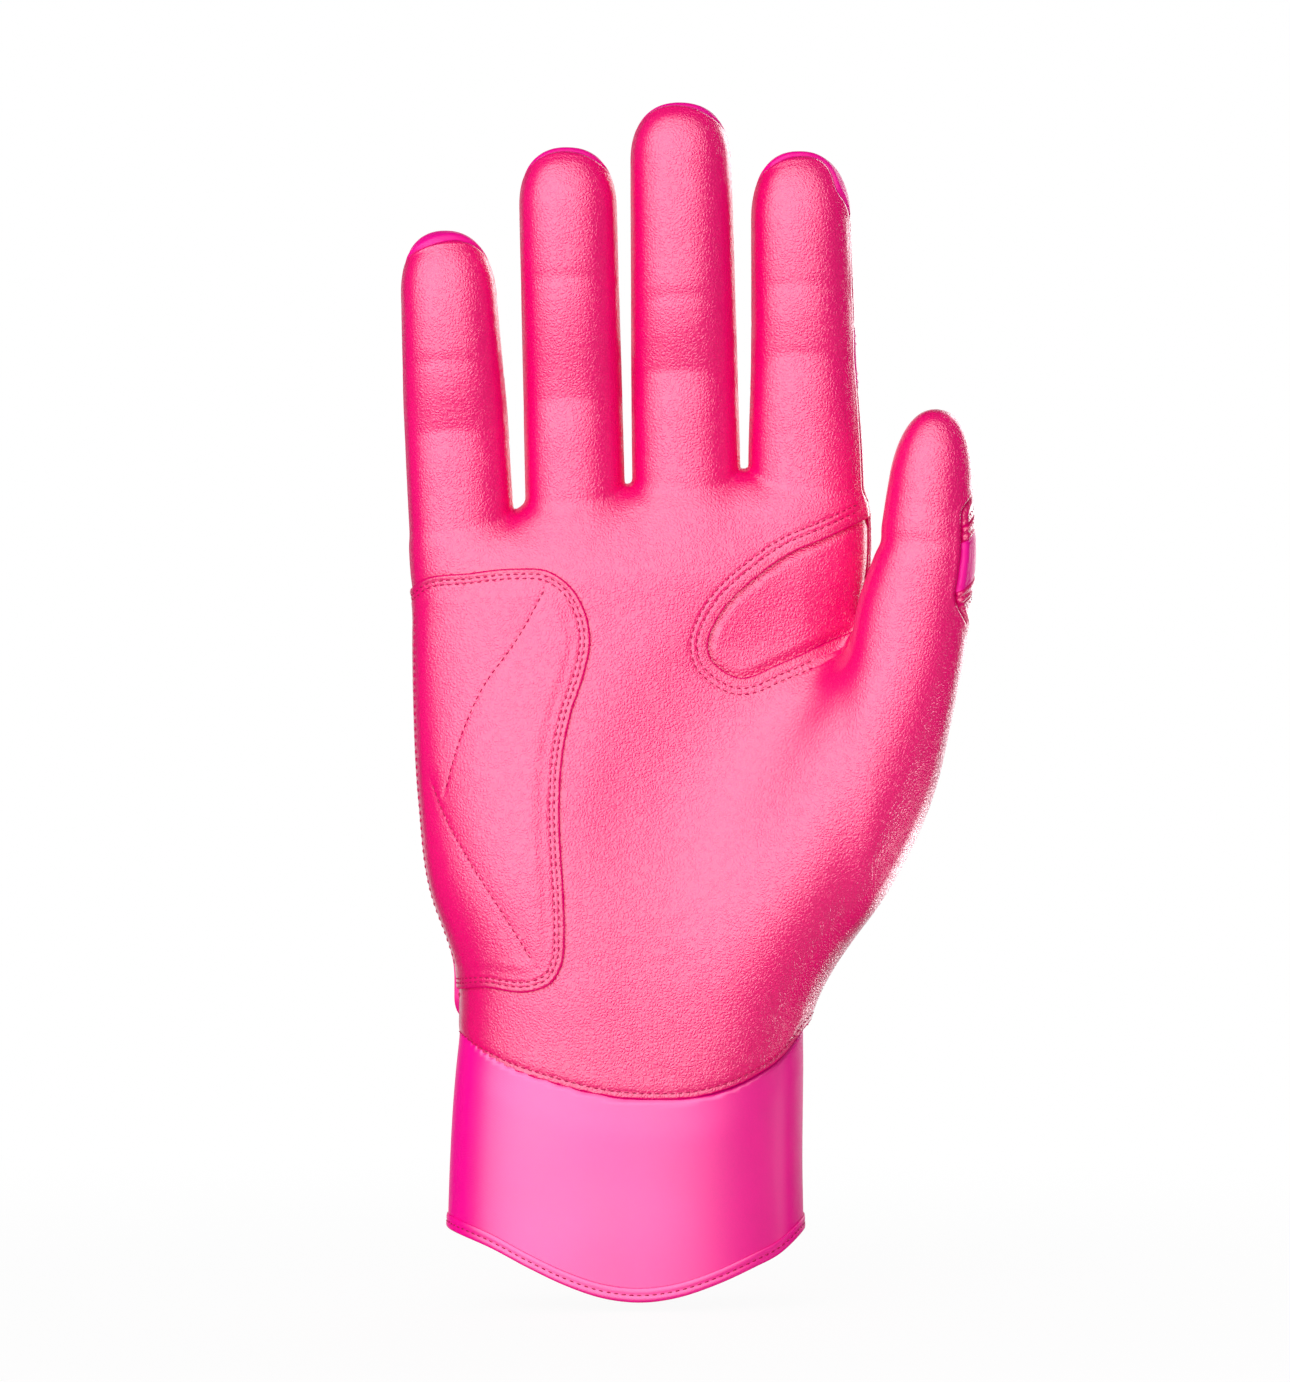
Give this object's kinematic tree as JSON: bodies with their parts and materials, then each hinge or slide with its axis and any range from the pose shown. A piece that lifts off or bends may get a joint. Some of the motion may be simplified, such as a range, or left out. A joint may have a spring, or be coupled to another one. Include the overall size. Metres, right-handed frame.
{
  "type": "batting glove",
  "caption": "Right-hand long-cuff batting glove in its worn shape: leather palm with heel patch, stretch knuckle inserts, neoprene cuff and a hook-and-loop wrist strap.",
  "frame": {"origin": "centre of the wrist opening, level with the lowest point of the hem", "axes": "+Z along the fingers, -Y out of the palm, +X towards the thumb"},
  "size_m": [0.1199, 0.0504, 0.25],
  "materials": {
    "leather": "fine pebble grain, satin",
    "backing": "fine pebble grain, satin",
    "stretch": "stretch knit, satin",
    "neoprene": "smooth neoprene, satin",
    "foam": "closed-cell foam sheet",
    "tape": "hook and loop tape"
  },
  "bodies": {
    "hand": {"palm_leather": "leather", "back_panel": "backing", "web_inset": "leather", "vent_gusset": "stretch", "heel_patch": "leather", "heel_pad": "foam", "thumb_insert": "stretch", "thumb_crease": "leather", "cuff_front": "neoprene", "hem_front": "neoprene", "cuff_back": "neoprene", "hem_back": "neoprene", "loop_patch": "tape", "strap_anchor": "stretch", "pinky_base_crease": "leather", "ring_base_crease": "leather", "middle_base_crease": "leather", "index_base_crease": "leather"},
    "pinky_lower": {"pinky_lower_front": "leather", "pinky_lower_back": "backing", "pinky_knuckle_insert": "stretch", "pinky_middle_crease": "leather"},
    "pinky_upper": {"pinky_upper_front": "leather", "pinky_upper_back": "backing", "pinky_tip_cap": "stretch"},
    "ring_lower": {"ring_lower_front": "leather", "ring_lower_back": "backing", "ring_knuckle_insert": "stretch", "ring_middle_crease": "leather"},
    "ring_upper": {"ring_upper_front": "leather", "ring_upper_back": "backing", "ring_tip_cap": "stretch"},
    "middle_lower": {"middle_lower_front": "leather", "middle_lower_back": "backing", "middle_knuckle_insert": "stretch", "middle_middle_crease": "leather"},
    "middle_upper": {"middle_upper_front": "leather", "middle_upper_back": "backing", "middle_tip_cap": "stretch"},
    "index_lower": {"index_lower_front": "leather", "index_lower_back": "backing", "index_knuckle_insert": "stretch", "index_middle_crease": "leather"},
    "index_upper": {"index_upper_front": "leather", "index_upper_back": "backing", "index_tip_cap": "stretch"},
    "thumb_tip": {"thumb_tip_front": "leather", "thumb_tip_back": "backing"},
    "strap": {"strap": "stretch", "hook_patch": "tape"}
  },
  "joints": [
    {"name": "pinky_base_bend", "type": "hinge", "parent": "hand", "child": "pinky_lower", "pos_m": [-0.0343, 0, 0.168], "axis": [1, 0, 0], "range_deg": [0, 58], "stiffness_Nm_per_rad": 0.03, "deforming": ["pinky_base_crease"]},
    {"name": "pinky_middle_bend", "type": "hinge", "parent": "pinky_lower", "child": "pinky_upper", "pos_m": [-0.0343, 0, 0.187], "axis": [1, 0, 0], "range_deg": [0, 58], "stiffness_Nm_per_rad": 0.03, "deforming": ["pinky_middle_crease"]},
    {"name": "ring_base_bend", "type": "hinge", "parent": "hand", "child": "ring_lower", "pos_m": [-0.0103, 0, 0.1725], "axis": [1, 0, 0], "range_deg": [0, 58], "stiffness_Nm_per_rad": 0.03, "deforming": ["ring_base_crease"]},
    {"name": "ring_middle_bend", "type": "hinge", "parent": "ring_lower", "child": "ring_upper", "pos_m": [-0.0103, 0, 0.192], "axis": [1, 0, 0], "range_deg": [0, 58], "stiffness_Nm_per_rad": 0.03, "deforming": ["ring_middle_crease"]},
    {"name": "middle_base_bend", "type": "hinge", "parent": "hand", "child": "middle_lower", "pos_m": [0.013, 0, 0.1745], "axis": [1, 0, 0], "range_deg": [0, 58], "stiffness_Nm_per_rad": 0.03, "deforming": ["middle_base_crease"]},
    {"name": "middle_middle_bend", "type": "hinge", "parent": "middle_lower", "child": "middle_upper", "pos_m": [0.013, 0, 0.195], "axis": [1, 0, 0], "range_deg": [0, 58], "stiffness_Nm_per_rad": 0.03, "deforming": ["middle_middle_crease"]},
    {"name": "index_base_bend", "type": "hinge", "parent": "hand", "child": "index_lower", "pos_m": [0.0382, 0, 0.1745], "axis": [1, 0, 0], "range_deg": [0, 58], "stiffness_Nm_per_rad": 0.03, "deforming": ["index_base_crease"]},
    {"name": "index_middle_bend", "type": "hinge", "parent": "index_lower", "child": "index_upper", "pos_m": [0.0382, 0, 0.1975], "axis": [1, 0, 0], "range_deg": [0, 58], "stiffness_Nm_per_rad": 0.03, "deforming": ["index_middle_crease"]},
    {"name": "thumb_bend", "type": "hinge", "parent": "hand", "child": "thumb_tip", "pos_m": [0.0628, -0.0145, 0.155], "axis": [0.6133, -0.788, -0.0537], "range_deg": [0, 38], "stiffness_Nm_per_rad": 0.03, "deforming": ["thumb_crease"]},
    {"name": "strap_swing", "type": "hinge", "parent": "hand", "child": "strap", "pos_m": [0.02365, 0.0231, 0.067], "axis": [0, 0, -1], "range_deg": [0, 150]}
  ]
}
